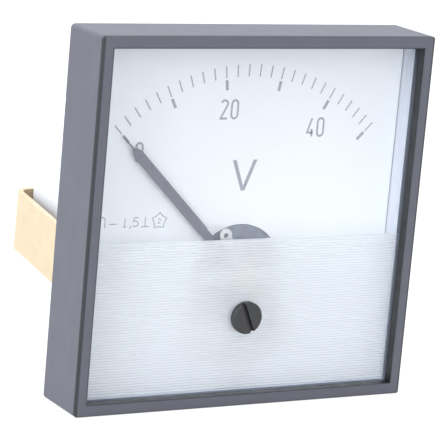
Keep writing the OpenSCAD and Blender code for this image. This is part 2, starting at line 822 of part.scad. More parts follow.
// Two nuts on each terminal: one clamps the stud, one clamps the lead
module terminal_nuts() {
    lift = washer_t + nut_t;
    color([0.83, 0.69, 0.38]) for (x = [-1, 1], y = [boss_y + washer_t, boss_y + washer_t + lift])
        translate([x * terminal_x, 0, terminal_up]) nut(y);
}

module terminal_washers() {
    lift = washer_t + nut_t;
    color([0.78, 0.78, 0.76]) for (x = [-1, 1], y = [boss_y, boss_y + lift])
        translate([x * terminal_x, 0, terminal_up]) washer(y);
}

module strap_stud() {
    color([0.83, 0.69, 0.38]) translate([0, 0, -strap_drop])
        stud(strap_washer_y + washer_t + nut_t + 3, stud_flange_t);
}

module strap_nut() {
    color([0.83, 0.69, 0.38]) translate([0, 0, -strap_drop]) nut(strap_washer_y + washer_t);
}

module strap_washer() {
    color([0.78, 0.78, 0.76]) translate([0, 0, -strap_drop]) washer(strap_washer_y);
}

// The strap's folded edge, seen along Z: back at y = 0, bends, and arms that splay towards the front
module strap_profile() {
    inner = strap_bend_r - strap_t;
    turn = 90 - strap_splay;
    for (side = [0, 1]) mirror([side, 0]) {
        translate([-eps, -strap_t / 2]) square([strap_half - strap_bend_r + 2 * eps, strap_t]);
        translate([strap_half - strap_bend_r, strap_t / 2 - strap_bend_r]) {
            intersection() {
                difference() {
                    circle(strap_bend_r);
                    circle(inner);
                }
                polygon([[0, 0], [0, 9], [9, 9], [9 * cos(90 - turn), 9 * sin(90 - turn)]]);
            }
            rotate(90 - turn) translate([inner, -strap_arm_l]) square([strap_t, strap_arm_l + eps]);
        }
    }
}

module mounting_strap() {
    color([0.85, 0.72, 0.36]) translate([0, strap_y, -strap_drop]) rotate([strap_lean, 0, 0]) difference() {
        rotate([0, -strap_turn, 0]) translate([0, 0, -strap_w / 2])
            linear_extrude(strap_w) strap_profile();
        rod(stud_r + 0.3, -strap_t, strap_t);
    }
}

bezel();
window();
case_base();
dial_plate();
dial_screws();
zero_screw();
zero_lever();
front_bridge();
bridge_screws();
front_jewel_screw();
pointer();
balance_weights();
pivots();
spring_collets();
coil_former();
coil_winding();
hairspring_front();
hairspring_rear();
core_magnet();
yoke_ring();
pointer_stops();
movement_frame();
frame_screws();
rear_bridge();
rear_bridge_screws();
rear_jewel_screw();
jewel_lock_nut();
rear_abutment();
series_resistor();
hookup_wires();
solder_tags();
terminal_studs();
terminal_nuts();
terminal_washers();
strap_stud();
strap_nut();
strap_washer();
mounting_strap();
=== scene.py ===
"""Looks of an analog panel meter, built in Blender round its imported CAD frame.

Every class stands for one sub-assembly of the meter. It holds its sizes in metres in the
CAD frame (+Z up, the scale looks towards -Y), builds the pieces that the CAD leaves to
Blender, and dresses its CAD nodes in their finishes.
"""

import json
import logging
import math
from collections.abc import Callable, Mapping, Sequence
from dataclasses import dataclass, field
from enum import Enum

import bpy
import numpy as np
from mathutils import Matrix, Vector


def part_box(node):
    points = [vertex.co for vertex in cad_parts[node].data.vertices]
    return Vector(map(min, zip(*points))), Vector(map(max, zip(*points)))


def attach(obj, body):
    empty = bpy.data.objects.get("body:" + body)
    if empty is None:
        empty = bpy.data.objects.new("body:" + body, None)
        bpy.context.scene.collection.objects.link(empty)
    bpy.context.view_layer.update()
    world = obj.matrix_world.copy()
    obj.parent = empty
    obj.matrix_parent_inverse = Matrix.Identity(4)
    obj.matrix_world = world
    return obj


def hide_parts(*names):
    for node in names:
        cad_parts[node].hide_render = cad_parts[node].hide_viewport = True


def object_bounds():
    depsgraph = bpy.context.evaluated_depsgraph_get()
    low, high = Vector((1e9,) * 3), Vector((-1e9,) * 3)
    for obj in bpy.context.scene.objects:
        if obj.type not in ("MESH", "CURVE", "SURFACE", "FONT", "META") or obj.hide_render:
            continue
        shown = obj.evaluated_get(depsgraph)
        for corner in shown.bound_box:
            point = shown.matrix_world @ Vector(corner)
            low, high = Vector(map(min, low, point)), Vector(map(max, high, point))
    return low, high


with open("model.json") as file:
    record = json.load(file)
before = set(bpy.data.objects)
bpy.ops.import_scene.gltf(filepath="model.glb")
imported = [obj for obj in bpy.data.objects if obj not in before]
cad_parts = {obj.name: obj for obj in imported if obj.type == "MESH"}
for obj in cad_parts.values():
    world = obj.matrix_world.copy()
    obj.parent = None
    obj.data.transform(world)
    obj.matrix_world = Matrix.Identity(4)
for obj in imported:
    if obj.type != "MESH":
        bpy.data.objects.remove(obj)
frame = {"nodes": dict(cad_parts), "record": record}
CAD_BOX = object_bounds()

log = logging.getLogger("panel_meter")

MM = 0.001
TAU = 2 * math.pi
Colour = tuple[float, float, float]


# ---- shader building ----


class Socket:
    """A shader value that takes part in Python arithmetic by adding Math nodes to its tree."""

    def __init__(self, shader: "Shader", out: bpy.types.NodeSocket) -> None:
        """Wraps one output.

        Args:
            shader: The tree that the output belongs to.
            out: The node output to carry on from.
        """
        self.shader = shader
        self.out = out

    def _math(self, operation: str, *values: "Socket | float") -> "Socket":
        """Adds one Math node.

        Args:
            operation: The Math node's operation.
            values: Its inputs in order.

        Returns:
            The node's result.
        """
        return self.shader.node(
            "ShaderNodeMath", {"operation": operation}, dict(enumerate(values))
        )

    def __add__(self, other: "Socket | float") -> "Socket":
        """Sum."""
        return self._math("ADD", self, other)

    __radd__ = __add__

    def __sub__(self, other: "Socket | float") -> "Socket":
        """Difference."""
        return self._math("SUBTRACT", self, other)

    def __rsub__(self, other: float) -> "Socket":
        """Difference from a number."""
        return self._math("SUBTRACT", other, self)

    def __mul__(self, other: "Socket | float") -> "Socket":
        """Product."""
        return self._math("MULTIPLY", self, other)

    __rmul__ = __mul__

    def sine(self) -> "Socket":
        """Sine of an angle in radians."""
        return self._math("SINE", self)

    def size(self) -> "Socket":
        """The value without its sign."""
        return self._math("ABSOLUTE", self)

    def larger(self, other: "Socket | float") -> "Socket":
        """The larger of two values."""
        return self._math("MAXIMUM", self, other)

    def clamped(self) -> "Socket":
        """The value kept between 0 and 1."""
        return self._math("MINIMUM", self.larger(0.0), 1.0)

    def past(self, start: float, run: float) -> "Socket":
        """0 up to a start, rising to 1 over a run: (value - start) / run, clamped.

        Args:
            start: Where the rise begins.
            run: How long it takes, negative for a mask that falls towards larger values.

        Returns:
            The mask.
        """
        return ((self - start) * (1 / run)).clamped()


class Shader:
    """A node tree under construction: a material's, or the world's."""

    def __init__(self, tree: bpy.types.NodeTree) -> None:
        """Empties the tree.

        Args:
            tree: The node tree to build in.
        """
        self.tree = tree
        tree.nodes.clear()

    def node(
        self,
        kind: str,
        settings: Mapping[str, object] | None = None,
        sockets: Mapping[str | int, "Socket | float | Sequence[float]"] | None = None,
        output: str | int = 0,
    ) -> Socket:
        """Adds any node.

        Args:
            kind: The node's type.
            settings: Its own settings, set first; "stops" are a ramp's (place, grey) pairs.
            sockets: What its inputs hold, a value or a Socket to link.
            output: The output to return.

        Returns:
            The chosen output.
        """
        made = self.tree.nodes.new(kind)
        for key, value in (settings or {}).items():
            if key == "stops":
                for element, (place, grey) in zip(made.color_ramp.elements, value):
                    element.position, element.color = place, (grey, grey, grey, 1)
            else:
                setattr(made, key, value)
        for key, value in (sockets or {}).items():
            if isinstance(value, Socket):
                self.tree.links.new(value.out, made.inputs[key])
            else:
                made.inputs[key].default_value = value
        return Socket(self, made.outputs[output if made.outputs else 0]) if made.outputs else None

    def place(self, stretch: Sequence[float] = (1, 1, 1), centre: Sequence[float] = (0, 0, 0)) -> Socket:
        """Object coordinates, counted from a centre and stretched.

        Args:
            stretch: Scale along each axis.
            centre: The point that becomes the origin.

        Returns:
            The coordinates, in metres times the stretch.
        """
        here = self.node("ShaderNodeTexCoord", output="Object")
        moved = self.node(
            "ShaderNodeVectorMath", {"operation": "SUBTRACT"}, {0: here, 1: tuple(centre)}
        )
        return self.node(
            "ShaderNodeVectorMath", {"operation": "MULTIPLY"}, {0: moved, 1: tuple(stretch)}
        )

    def axis(self, number: int) -> Socket:
        """One of the object coordinates, in metres.

        Args:
            number: 0, 1 or 2 for X, Y or Z.

        Returns:
            The coordinate.
        """
        return self.node("ShaderNodeSeparateXYZ", {}, {0: self.place()}, number)

    def noise(self, grain: float, place: Socket | None = None, detail: float = 3.0) -> Socket:
        """Cloudy noise around 0.5.

        Args:
            grain: Size of its blobs, in metres.
            place: Coordinates to use, the plain ones if none.
            detail: Octaves.

        Returns:
            The noise value.
        """
        return self.node(
            "ShaderNodeTexNoise",
            {"noise_dimensions": "3D"},
            {"Vector": place or self.place(), "Scale": 1 / grain, "Detail": detail},
        )

    def blend(self, share: Socket | float, first: Sequence[float], second: Sequence[float]) -> Socket:
        """Mixes two colours.

        Args:
            share: How much of the second, 0 to 1.
            first: A colour or Socket.
            second: A colour or Socket.

        Returns:
            The mixed colour.
        """
        return self.node(
            "ShaderNodeMix", {"data_type": "RGBA"}, {0: share, 6: first, 7: second}, 2
        )

    def bump(self, height: Socket, depth: float) -> Socket:
        """A relief on the surface.

        Args:
            height: The relief, 0 to 1.
            depth: What 1 stands for, in metres.

        Returns:
            The bumped normal.
        """
        return self.node("ShaderNodeBump", {}, {"Height": height, "Distance": depth})


def shown(*levels: float) -> tuple[float, float, float, float]:
    """A colour from display levels.

    Args:
        levels: Red, green and blue, 0 to 255, as a display shows them.

    Returns:
        The linear colour with alpha 1.
    """
    part = np.asarray(levels) / 255
    linear = np.where(part <= 0.04045, part / 12.92, ((part + 0.055) / 1.055) ** 2.4)
    return (*linear.tolist(), 1.0)


# ---- finishes ----


class Tooling(Enum):
    """How a metal surface got its marks."""

    TURNED = "turned"
    ROLLED = "rolled"
    CAST = "cast"
    DRAWN = "drawn"
    PLATED = "plated"


@dataclass(frozen=True)
class Finish:
    """What every finish has.

    Attributes:
        name: The material's name.
        colour: Display levels of the colour, 0 to 255.
        roughness: Mean roughness.
        cloud: Size of the slow colour variation, in metres.
        uneven: How far the colour varies, as a share.
    """

    name: str
    colour: Colour
    roughness: float
    cloud: float = 6 * MM
    uneven: float = 0.05

    def material(self) -> bpy.types.Material:
        """The finish as a node material, made once and kept by name."""
        full_name = f"{self.name}_finish"
        found = bpy.data.materials.get(full_name)
        if found:
            return found
        made = bpy.data.materials.new(full_name)
        made.use_nodes = True
        made.diffuse_color = shown(*self.colour)
        shader = Shader(made.node_tree)
        surface = self.surface(shader)
        shader.node("ShaderNodeOutputMaterial", {}, {"Surface": surface})
        return made

    def tinted(self, shader: Shader, extra: Socket | None = None) -> Socket:
        """The colour with its slow variation.

        Args:
            shader: The tree to build in.
            extra: Further darkening, 0 to 1, added before the variation is scaled.

        Returns:
            The colour.
        """
        share = shader.noise(self.cloud, detail=2.0)
        if extra is not None:
            share = (share + extra) * 0.5
        low, high = (
            shown(*(c * (1 + side * self.uneven) for c in self.colour)) for side in (-1, 1)
        )
        spread = shader.node(
            "ShaderNodeMapRange", {}, {"Value": share, "From Min": 0.3, "From Max": 0.7}
        )
        return shader.blend(spread, low, high)

    def surface(self, shader: Shader) -> Socket:
        """The shader that the material ends in.

        Args:
            shader: The tree to build in.

        Returns:
            The surface shader.
        """
        raise NotImplementedError


@dataclass(frozen=True)
class Moulded(Finish):
    """Opaque moulded plastic: spark-eroded or polished tool face, slow flow marks.

    Attributes:
        grain: Size of the tool face's grain, in metres.
        depth: Depth of that grain, in metres.
        gloss: Specular level.
    """

    grain: float = 0.22 * MM
    depth: float = 0.012 * MM
    gloss: float = 0.5

    def shaded(self, shader: Shader, colour: Socket) -> tuple[Socket, Socket | float]:
        """The colour with its shaded places, and how smooth those are.

        Args:
            shader: The tree to build in.
            colour: The colour everywhere else.

        Returns:
            The colour, and what to take off the roughness.
        """
        return colour, 0.0

    def surface(self, shader: Shader) -> Socket:
        """Plastic with grain, see Finish.surface."""
        grain = shader.noise(self.grain, detail=2.0)
        pits = shader.node(
            "ShaderNodeTexVoronoi",
            {"feature": "SMOOTH_F1"},
            {"Vector": shader.place(), "Scale": 0.7 / self.grain},
        )
        relief = grain * 0.6 + pits * 0.4
        flow = shader.noise(3 * MM, shader.place((1, 1, 0.35)), 2.0)
        colour, smoother = self.shaded(shader, self.tinted(shader, grain))
        return shader.node(
            "ShaderNodeBsdfPrincipled",
            {},
            {
                "Base Color": colour,
                "Roughness": self.roughness + (flow - 0.5) * 0.12 + (grain - 0.5) * 0.1 - smoother,
                "Specular IOR Level": self.gloss,
                "Normal": shader.bump(relief, self.depth),
            },
        )


@dataclass(frozen=True)
class BezelMoulded(Moulded):
    """The bezel's plastic: spark-eroded outside, smoother on the opening's walls and the edges, with
    painted shade on the walls and a painted dark reflection along the edges.

    Attributes:
        half: Half the bezel's side, in metres.
        bar: Width of its front bars.
        front: Y of its face.
        painted_shade_colour: Display levels of the painted shade on the opening's walls and the painted
            dark reflection along the front edges.
    """

    half: float = 36 * MM
    bar: float = 2.4 * MM
    front: float = -13.4 * MM
    # Near black colour: painted shade on the opening's walls, painted dark reflection along the front
    # edges.
    painted_shade_colour: Colour = (16, 17, 22)

    def shaded(self, shader: Shader, colour: Socket) -> tuple[Socket, Socket | float]:
        """Smoother inside the opening and along the rounded front edges, and darkened there as painted
        shade and a painted dark reflection, see Moulded.shaded.
        """
        across, up = shader.axis(0).size(), shader.axis(2).size()
        opening = across.larger(up).past(self.half - self.bar + 0.25 * MM, -0.2 * MM)
        rim = shader.axis(1).past(self.front + 0.85 * MM, -0.35 * MM)
        sides = across.past(self.half - 0.7 * MM, 0.3 * MM)
        ends = up.past(self.half - 0.45 * MM, 0.3 * MM) * 0.6
        # Painted shade on the opening's walls and a painted dark reflection along the rounded front edges:
        # the colour goes near black there.
        share = opening.larger(rim * sides.larger(ends) * 0.85)
        return shader.blend(share, colour, shown(*self.painted_shade_colour)), share * 0.2


@dataclass(frozen=True)
class ClearMoulded(Finish):
    """Clear moulded plastic, which lets lamps light what is behind it.

    Attributes:
        bend: Its index of refraction.
        matt_below: Z below which the back face is matt, in metres.
        matt_behind: Y behind which that is so.
        matt: Roughness of that face.
    """

    bend: float = 1.49
    matt_below: float = -3.7 * MM
    matt_behind: float = -10.6 * MM
    matt: float = 0.5

    def surface(self, shader: Shader) -> Socket:
        """Clear plastic with a hint of waviness and a matt ribbed field, see Finish.surface."""
        wave = shader.noise(9 * MM, detail=1.0)
        low = shader.axis(2).past(self.matt_below, -0.05 * MM)
        field_mask = low * shader.axis(1).past(self.matt_behind, 0.1 * MM)
        grain = shader.noise(0.4 * MM, detail=2.0)
        clear = shader.node(
            "ShaderNodeBsdfPrincipled",
            {},
            {
                "Base Color": self.tinted(shader),
                "Roughness": self.roughness + (wave - 0.5) * 0.01 + field_mask * (self.matt + grain * 0.08),
                "IOR": self.bend,
                "Transmission Weight": 1.0,
                "Normal": shader.bump(wave, 0.004 * MM),
            },
        )
        through = shader.node("ShaderNodeBsdfTransparent", {}, {"Color": shown(244, 246, 248)})
        lamp_ray = shader.node("ShaderNodeLightPath", output="Is Shadow Ray")
        return shader.node("ShaderNodeMixShader", {}, {0: lamp_ray, 1: clear, 2: through})


@dataclass(frozen=True)
class Ribbed(Finish):
    """Fine moulded ribs that scatter the light, drawn as a white cover of painted scattered light, denser
    on one flank than on the other.

    Attributes:
        pitch: Distance from rib to rib, in metres.
        cover: Mean cover of the painted scattered light on the flanks.
        swing: How far the cover varies across a rib.
    """

    pitch: float = 0.53 * MM
    cover: float = 0.5
    swing: float = 0.2

    def surface(self, shader: Shader) -> Socket:
        """Painted scattered light: a white cover that follows the sine of the height, see Finish.surface.
        """
        wander = shader.noise(5 * MM, detail=2.0)
        wave = (shader.axis(2) * (TAU / self.pitch) + wander * 0.8).sine()
        return shader.node(
            "ShaderNodeBsdfPrincipled",
            {},
            {
                "Base Color": self.tinted(shader, wave * 0.5 + 0.5),
                "Roughness": self.roughness + (wander - 0.5) * 0.1,
                "Alpha": self.cover + wave * self.swing + (wander - 0.5) * 0.1,
                "Normal": shader.bump(wave * 0.5 + 0.5, 0.01 * MM),
            },
        )


@dataclass(frozen=True)
class Lacquer(Finish):
    """Sprayed lacquer or printed ink on sheet metal.

    Attributes:
        peel: Size of its orange peel, in metres.
        depth: Depth of the orange peel, in metres.
    """

    peel: float = 0.7 * MM
    depth: float = 0.004 * MM

    def surface(self, shader: Shader) -> Socket:
        """Lacquer with orange peel and fine specks, see Finish.surface."""
        peel = shader.noise(self.peel, detail=1.0)
        speck = shader.noise(0.12 * MM, detail=2.0)
        return shader.node(
            "ShaderNodeBsdfPrincipled",
            {},
            {
                "Base Color": self.tinted(shader, speck),
                "Roughness": self.roughness + (peel - 0.5) * 0.1 + (speck - 0.5) * 0.06,
                "Normal": shader.bump(peel * 0.8 + speck * 0.2, self.depth),
            },
        )


@dataclass(frozen=True)
class Metal(Finish):
    """Bare or plated metal.

    Attributes:
        tooling: What its marks come from.
        depth: Depth of the marks, in metres.
        metallic: How metallic it is, lower where it is oxidised.
    """

    tooling: Tooling = Tooling.PLATED
    depth: float = 0.003 * MM
    metallic: float = 1.0

    def marks(self, shader: Shader) -> Socket:
        """The tool marks, 0 to 1, stretched the way the metal was worked.

        Args:
            shader: The tree to build in.

        Returns:
            The marks.
        """
        stretch, grain, detail = {
            Tooling.TURNED: ((0.05, 1, 0.05), 0.07 * MM, 2.0),
            Tooling.ROLLED: ((0.04, 0.04, 1), 0.12 * MM, 2.0),
            Tooling.CAST: ((1, 1, 1), 0.35 * MM, 4.0),
            Tooling.DRAWN: ((1, 0.05, 1), 0.06 * MM, 1.0),
            Tooling.PLATED: ((1, 1, 1), 0.5 * MM, 2.0),
        }[self.tooling]
        return shader.noise(grain, shader.place(stretch), detail)

    def surface(self, shader: Shader) -> Socket:
        """Metal with tool marks and tarnish, see Finish.surface."""
        marks = self.marks(shader)
        tarnish = shader.noise(2.4 * MM, detail=4.0)
        return shader.node(
            "ShaderNodeBsdfPrincipled",
            {},
            {
                "Base Color": self.tinted(shader, marks),
                "Metallic": self.metallic,
                "Roughness": self.roughness + (marks - 0.5) * 0.16 + (tarnish - 0.5) * 0.14,
                "Normal": shader.bump(marks, self.depth),
            },
        )


@dataclass(frozen=True)
class Wound(Finish):
    """A winding of enamelled wire, seen as its turns.

    Attributes:
        wire: Diameter of the wire, in metres.
    """

    wire: float = 0.06 * MM

    def surface(self, shader: Shader) -> Socket:
        """Rows of turns side by side across the coil, see Finish.surface."""
        across = shader.node(
            "ShaderNodeSeparateXYZ", {}, {0: shader.place((1, 1, 1), (0, 0, -11.3 * MM))}, 0
        )
        turns = (across * (TAU / self.wire)).sine() * 0.5 + 0.5
        return shader.node(
            "ShaderNodeBsdfPrincipled",
            {},
            {
                "Base Color": self.tinted(shader, turns),
                "Metallic": 0.7,
                "Roughness": self.roughness + (1 - turns) * 0.15,
                "Coat Weight": 0.3,
                "Normal": shader.bump(turns, self.wire / 4),
            },
        )


INK = Lacquer("ink_grey", (156, 159, 169), 0.6, 1.5 * MM, 0.06, 0.2 * MM, 0.002 * MM)
RIBS = Ribbed("ribs_painted_scatter", (244, 246, 250), 0.4, 6 * MM, 0.004)
FINISHES: dict[str, Finish] = {
    "bezel_plastic": BezelMoulded(
        "bezel_anthracite", (87, 89, 101), 0.52, 7 * MM, 0.04, 0.2 * MM, 0.016 * MM
    ),
    "clear_window": ClearMoulded("window_clear", (250, 252, 254), 0.02, 20 * MM, 0.004),
    "case_white": Moulded("case_white", (216, 221, 232), 0.32, 12 * MM, 0.01, 0.5 * MM, 0.004 * MM),
    "dial_white": Lacquer("dial_white", (244, 246, 249), 0.5, 15 * MM, 0.006),
    "lacquered_screw": Lacquer("screw_white", (236, 237, 238), 0.4, 1 * MM, 0.02),
    "adjuster_plastic": Moulded("adjuster_black", (44, 45, 48), 0.4, 1 * MM, 0.08, 0.12 * MM, 0.006 * MM),
    "pointer_lacquer": Lacquer("pointer_grey", (112, 113, 126), 0.45, 1 * MM, 0.06, 0.25 * MM, 0.002 * MM),
    "nickel": Metal("nickel", (214, 213, 208), 0.25, 2 * MM, 0.03, Tooling.PLATED, 0.002 * MM),
    "jewel_brass": Metal("jewel_brass", (222, 190, 122), 0.24, 0.8 * MM, 0.05, Tooling.TURNED, 0.002 * MM),
    "spring_bronze": Metal(
        "spring_bronze", (214, 170, 104), 0.3, 0.6 * MM, 0.05, Tooling.ROLLED, 0.001 * MM
    ),
    "coil_aluminium": Metal(
        "coil_aluminium", (216, 218, 220), 0.34, 1.5 * MM, 0.04, Tooling.ROLLED, 0.001 * MM
    ),
    "copper_wire": Wound("coil_copper", (196, 112, 70), 0.34, 0.5 * MM, 0.12),
    "magnet": Metal("core_magnet", (150, 151, 156), 0.42, 2 * MM, 0.06, Tooling.TURNED, 0.003 * MM, 0.9),
    "ring_iron": Metal("ring_iron", (150, 155, 171), 0.5, 2 * MM, 0.08, Tooling.TURNED, 0.004 * MM, 0.7),
    "die_cast": Metal("die_cast", (240, 238, 236), 0.46, 3 * MM, 0.05, Tooling.CAST, 0.01 * MM),
    "resistor_body": Lacquer("resistor_lacquer", (206, 186, 152), 0.35, 2 * MM, 0.05),
    "red_lead": Moulded("lead_red", (176, 44, 40), 0.4, 3 * MM, 0.06, 0.2 * MM, 0.003 * MM),
    "tinned": Metal("tinned_brass", (218, 217, 211), 0.36, 1.2 * MM, 0.06, Tooling.CAST, 0.004 * MM),
    "stud_brass": Metal("stud_brass", (226, 200, 140), 0.28, 2 * MM, 0.05, Tooling.TURNED, 0.003 * MM),
    "strap_brass": Metal("strap_brass", (233, 214, 184), 0.36, 3 * MM, 0.04, Tooling.ROLLED, 0.004 * MM),
}


def dress(*nodes: str) -> None:
    """Puts the finish of its material slot on each CAD node.

    Args:
        nodes: Names of CAD nodes.
    """
    slots = {part["node"]: part["material_slot"] for part in frame["record"]["subparts"]}
    for name in nodes:
        node = frame["nodes"][name]
        made = FINISHES[slots[name]].material()
        if node.material_slots:
            for place in node.material_slots:
                place.material = made
        else:
            node.data.materials.append(made)
        log.info("dressed %s in %s", name, made.name)


# ---- surfaces ----


def piece(
    name: str,
    points: np.ndarray,
    faces: list[list[int]],
    finish: Finish,
    body: str = "case",
) -> bpy.types.Object:
    """Makes a mesh object at the origin, dressed and riding on a body.

    Args:
        name: The piece's name.
        points: n by 3 points, in metres in the CAD frame.
        faces: Corners of each face.
        finish: Its finish.
        body: The CAD body that carries it.

    Returns:
        The new object.
    """
    mesh = bpy.data.meshes.new(name)
    mesh.from_pydata(points.tolist(), [], faces)
    mesh.validate()
    mesh.materials.append(finish.material())
    made = bpy.data.objects.new(name, mesh)
    bpy.context.scene.collection.objects.link(made)
    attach(made, body)
    log.info("built %s with %d faces", name, len(mesh.polygons))
    return made


def grid_faces(rows: int, columns: int, wrap: bool = True) -> np.ndarray:
    """Faces of a grid of points stored row after row.

    Args:
        rows: How many rows of points.
        columns: How many points in a row.
        wrap: True if each row closes on itself.

    Returns:
        Corner numbers, four to a face: each face joins points j and j+1 of row i to those of
        row i+1.
    """
    i = np.arange(rows - 1)[:, None]
    j = np.arange(columns if wrap else columns - 1)[None, :]
    k = (j + 1) % columns
    corners = (i * columns + j, i * columns + k, (i + 1) * columns + k, (i + 1) * columns + j)
    return np.stack([c.ravel() for c in np.broadcast_arrays(*corners)], 1)


def band(
    line: np.ndarray, width: float, front: float, back: float, closed: bool = False
) -> tuple[np.ndarray, list]:
    """A printed line: a flat strip with thickness along a path in the X, Z plane.

    The strip's edges lie half its width to each side of the path, along the mean of the
    normals of the two legs that meet at a point, lengthened by one over the cosine of half
    the bend, and its faces lie at Y front and back.

    Args:
        line: n by 2 points of the path, in metres.
        width: Width of the strip.
        front: Y of its front face.
        back: Y of its back face.
        closed: True if the path closes on itself.

    Returns:
        The points and the faces, whose normals point inwards.
    """
    legs = np.diff(np.vstack([line, line[:1]]) if closed else line, axis=0)
    legs = legs / np.linalg.norm(legs, axis=1, keepdims=True)
    before = np.vstack([legs[-1:] if closed else legs[:1], legs[: len(line) - 1]])
    after = legs if closed else np.vstack([legs, legs[-1:]])
    normals = np.stack([-(before + after)[:, 1], (before + after)[:, 0]], 1)
    normals /= np.linalg.norm(normals, axis=1, keepdims=True)
    stretch = 1 / np.sum(normals * np.stack([-after[:, 1], after[:, 0]], 1), 1)
    side = normals * (width / 2 * stretch)[:, None]
    edges = np.stack([line - side, line - side, line + side, line + side], 1)
    depth = np.broadcast_to(np.array([front, back, back, front]), edges.shape[:2])
    points = np.stack([edges[..., 0], depth, edges[..., 1]], 2).reshape(-1, 3)
    rows = len(line) + 1 if closed else len(line)
    faces = (grid_faces(rows, 4) % len(points))[:, ::-1].tolist()
    if not closed:
        faces += [[0, 1, 2, 3], [len(points) - 1 - i for i in range(4)]]
    return points, faces


def prism(outline: np.ndarray, front: float, back: float) -> tuple[np.ndarray, list]:
    """A printed field: an outline in the X, Z plane with thickness.

    Args:
        outline: n by 2 corners, anticlockwise as seen from the front.
        front: Y of its front face.
        back: Y of its back face.

    Returns:
        The points and the faces: the outline at both depths, joined by a wall.
    """
    n = len(outline)
    flat = np.repeat(outline[None], 2, 0)
    depth = np.array([[front] * n, [back] * n])
    points = np.stack([flat[..., 0], depth, flat[..., 1]], 2).reshape(-1, 3)
    faces = grid_faces(2, n)[:, ::-1].tolist()
    return points, faces + [list(range(n)), list(range(2 * n - 1, n - 1, -1))]


def joined(parts: Sequence[tuple[np.ndarray, list]]) -> tuple[np.ndarray, list]:
    """Several solids as one.

    Args:
        parts: Points and faces of each.

    Returns:
        All points and all faces, renumbered.
    """
    starts = np.cumsum([0] + [len(points) for points, _ in parts])
    faces = [[c + int(s) for c in face] for s, (_, own) in zip(starts, parts) for face in own]
    return np.vstack([points for points, _ in parts]), faces


def arc(
    centre: Sequence[float], across: float, up: float, start: float, end: float, steps: int = 14
) -> np.ndarray:
    """Points on an ellipse's arc: centre plus (across cos t, up sin t).

    Args:
        centre: Its centre in X, Z.
        across: Half its width.
        up: Half its height.
        start: First angle in degrees.
        end: Last angle in degrees.
        steps: How many points.

    Returns:
        steps by 2 points.
    """
    t = np.radians(np.linspace(start, end, steps))
    return np.stack([centre[0] + across * np.cos(t), centre[1] + up * np.sin(t)], 1)


# ---- sub-assemblies ----


@dataclass
class Housing:
    """Bezel, window with its ribbed field, case, and the polarity marks behind it.

    Attributes:
        rib_top: Height of the ribbed field's top edge.
        rib_pitch: Distance from rib to rib.
        rib_depth: Depth of a rib.
        rib_floor: Thickness of the field between two ribs.
        rib_gap: Gap between the window and the field.
        field_half: Half the field's width.
        adjuster: X and Z of the zero adjuster, which passes through the field.
        clearance: Room left round the adjuster's neck.
        mark: Length of a polarity mark's stroke.
        mark_w: Width of that stroke.
        mark_rise: How far a polarity mark reaches behind the case's rearmost plane.
        mark_root: How far it starts in front of that plane.
        mark_out: Distance of a mark's centre outside its terminal's flange.
    """

    rib_top: float = -3.65 * MM
    rib_pitch: float = 0.53 * MM
    rib_depth: float = 0.05 * MM
    rib_floor: float = 0.03 * MM
    rib_gap: float = 0.02 * MM
    field_half: float = 33.2 * MM
    adjuster: tuple[float, float] = (0.0, -18.8 * MM)
    clearance: float = 1.9 * MM
    mark: float = 3 * MM
    mark_w: float = 0.6 * MM
    mark_rise: float = 0.25 * MM
    mark_root: float = 0.1 * MM
    mark_out: float = 2.6 * MM

    def ribs(self, left: float, right: float, low: float, high: float) -> tuple[np.ndarray, list]:
        """One rectangle of the ribbed field.

        Its section is carried along X: the front stays flat, and the back lies behind it by a
        triangle wave of the height, so that ribs in different rectangles line up.

        Args:
            left: X of its left edge.
            right: X of its right edge.
            low: Z of its lower edge.
            high: Z of its upper edge.

        Returns:
            The points and the faces, whose normals point inwards.
        """
        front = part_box("window")[1].y + self.rib_gap
        half_pitch = self.rib_pitch / 2
        turns = np.arange(math.ceil(low / half_pitch), math.floor(high / half_pitch) + 1)
        z = np.unique(np.round(np.concatenate([[low], turns * half_pitch, [high]]), 9))
        wave = np.abs((z / self.rib_pitch) % 1 - 0.5) * 2
        depth = np.append(0 * z, self.rib_floor + self.rib_depth * wave[::-1])
        section = np.stack([np.append(z, z[::-1]), front + depth], 1)
        n = len(section)
        points = np.concatenate(
            [np.stack([np.full(n, x), section[:, 1], section[:, 0]], 1) for x in (left, right)]
        )
        return points, grid_faces(2, n).tolist() + [list(range(n))[::-1], list(range(n, 2 * n))]

    def build(self) -> None:
        """Dresses the housing's nodes, and builds the ribbed field and the polarity marks."""
        dress("bezel", "window", "case_base")
        x, z = self.adjuster
        low, wide, room = -self.field_half, self.field_half, self.clearance
        field_piece = piece(
            "window_ribs",
            *joined(
                [
                    self.ribs(-wide, x - room, low, self.rib_top),
                    self.ribs(x + room, wide, low, self.rib_top),
                    self.ribs(x - room, x + room, z + room, self.rib_top),
                    self.ribs(x - room, x + room, low, z - room),
                ]
            ),
            RIBS,
        )
        # The ribbed field is painted scattered light, so it casts no shadow.
        field_piece.visible_shadow = False
        self.polarity()

    def polarity(self) -> None:
        """Builds a plus and a minus on the case's back, outside the terminals."""
        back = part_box("case_base")[1].y
        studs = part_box("terminal_studs")
        up = (studs[0].z + studs[1].z) / 2
        half = self.mark / 2
        depths = back - self.mark_root, back + self.mark_rise
        level = np.array([(-half, 0), (half, 0)])
        plus_x = studs[1].x + self.mark_out
        strokes = [band(level + (side * plus_x, up), self.mark_w, *depths) for side in (-1, 1)]
        for end in (-1, 1):
            leg = np.array([(plus_x, up + end * self.mark_w / 2), (plus_x, up + end * half)])
            strokes.append(band(leg, self.mark_w, *depths))
        piece("polarity_marks", *joined(strokes), FINISHES["case_white"])


